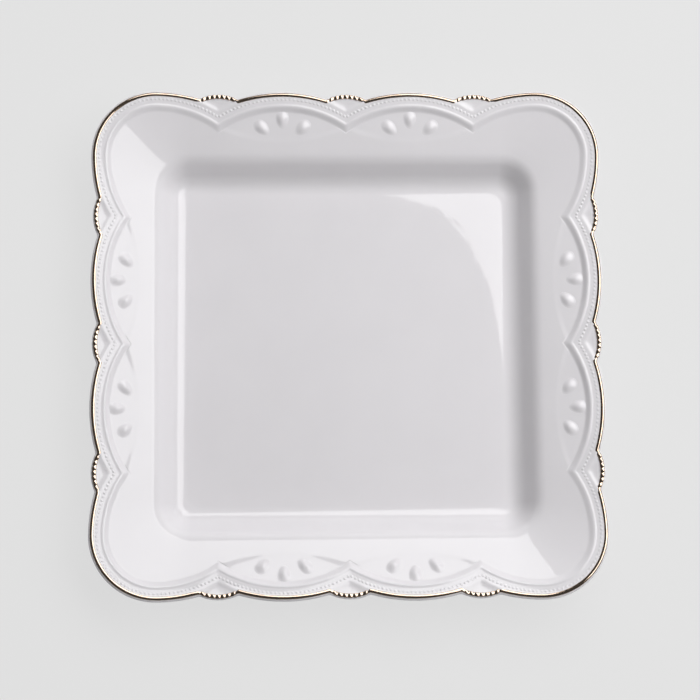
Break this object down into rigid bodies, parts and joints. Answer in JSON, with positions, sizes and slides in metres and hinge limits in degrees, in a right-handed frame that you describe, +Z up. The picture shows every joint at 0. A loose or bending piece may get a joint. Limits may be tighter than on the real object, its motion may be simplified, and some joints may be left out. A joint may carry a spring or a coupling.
{
  "type": "square serving plate",
  "caption": "Square porcelain serving plate with a sunken square well, a sloping scalloped rim in low relief, rows of pearls and a gilded edge.",
  "frame": {"origin": "Centre of the plane that the foot rests on, under the middle of the plate", "axes": "+Z up out of the well, X and Y square to the plate's sides"},
  "size_m": [0.25, 0.25, 0.0312],
  "materials": {
    "glazed_porcelain": "clear gloss glaze on cool white porcelain",
    "bare_porcelain": "unglazed, wiped and ground smooth",
    "gilding": "burnished gold on the glaze, slightly worn on the outer edge"
  },
  "bodies": {
    "root": {"plate_body": "glazed_porcelain", "foot_ring": "bare_porcelain", "gilt_edge": "gilding", "side_ribs": "glazed_porcelain", "corner_ribs": "glazed_porcelain", "side_pearls": "glazed_porcelain", "corner_pearls": "glazed_porcelain", "petal_drops": "glazed_porcelain"}
  },
  "joints": []
}
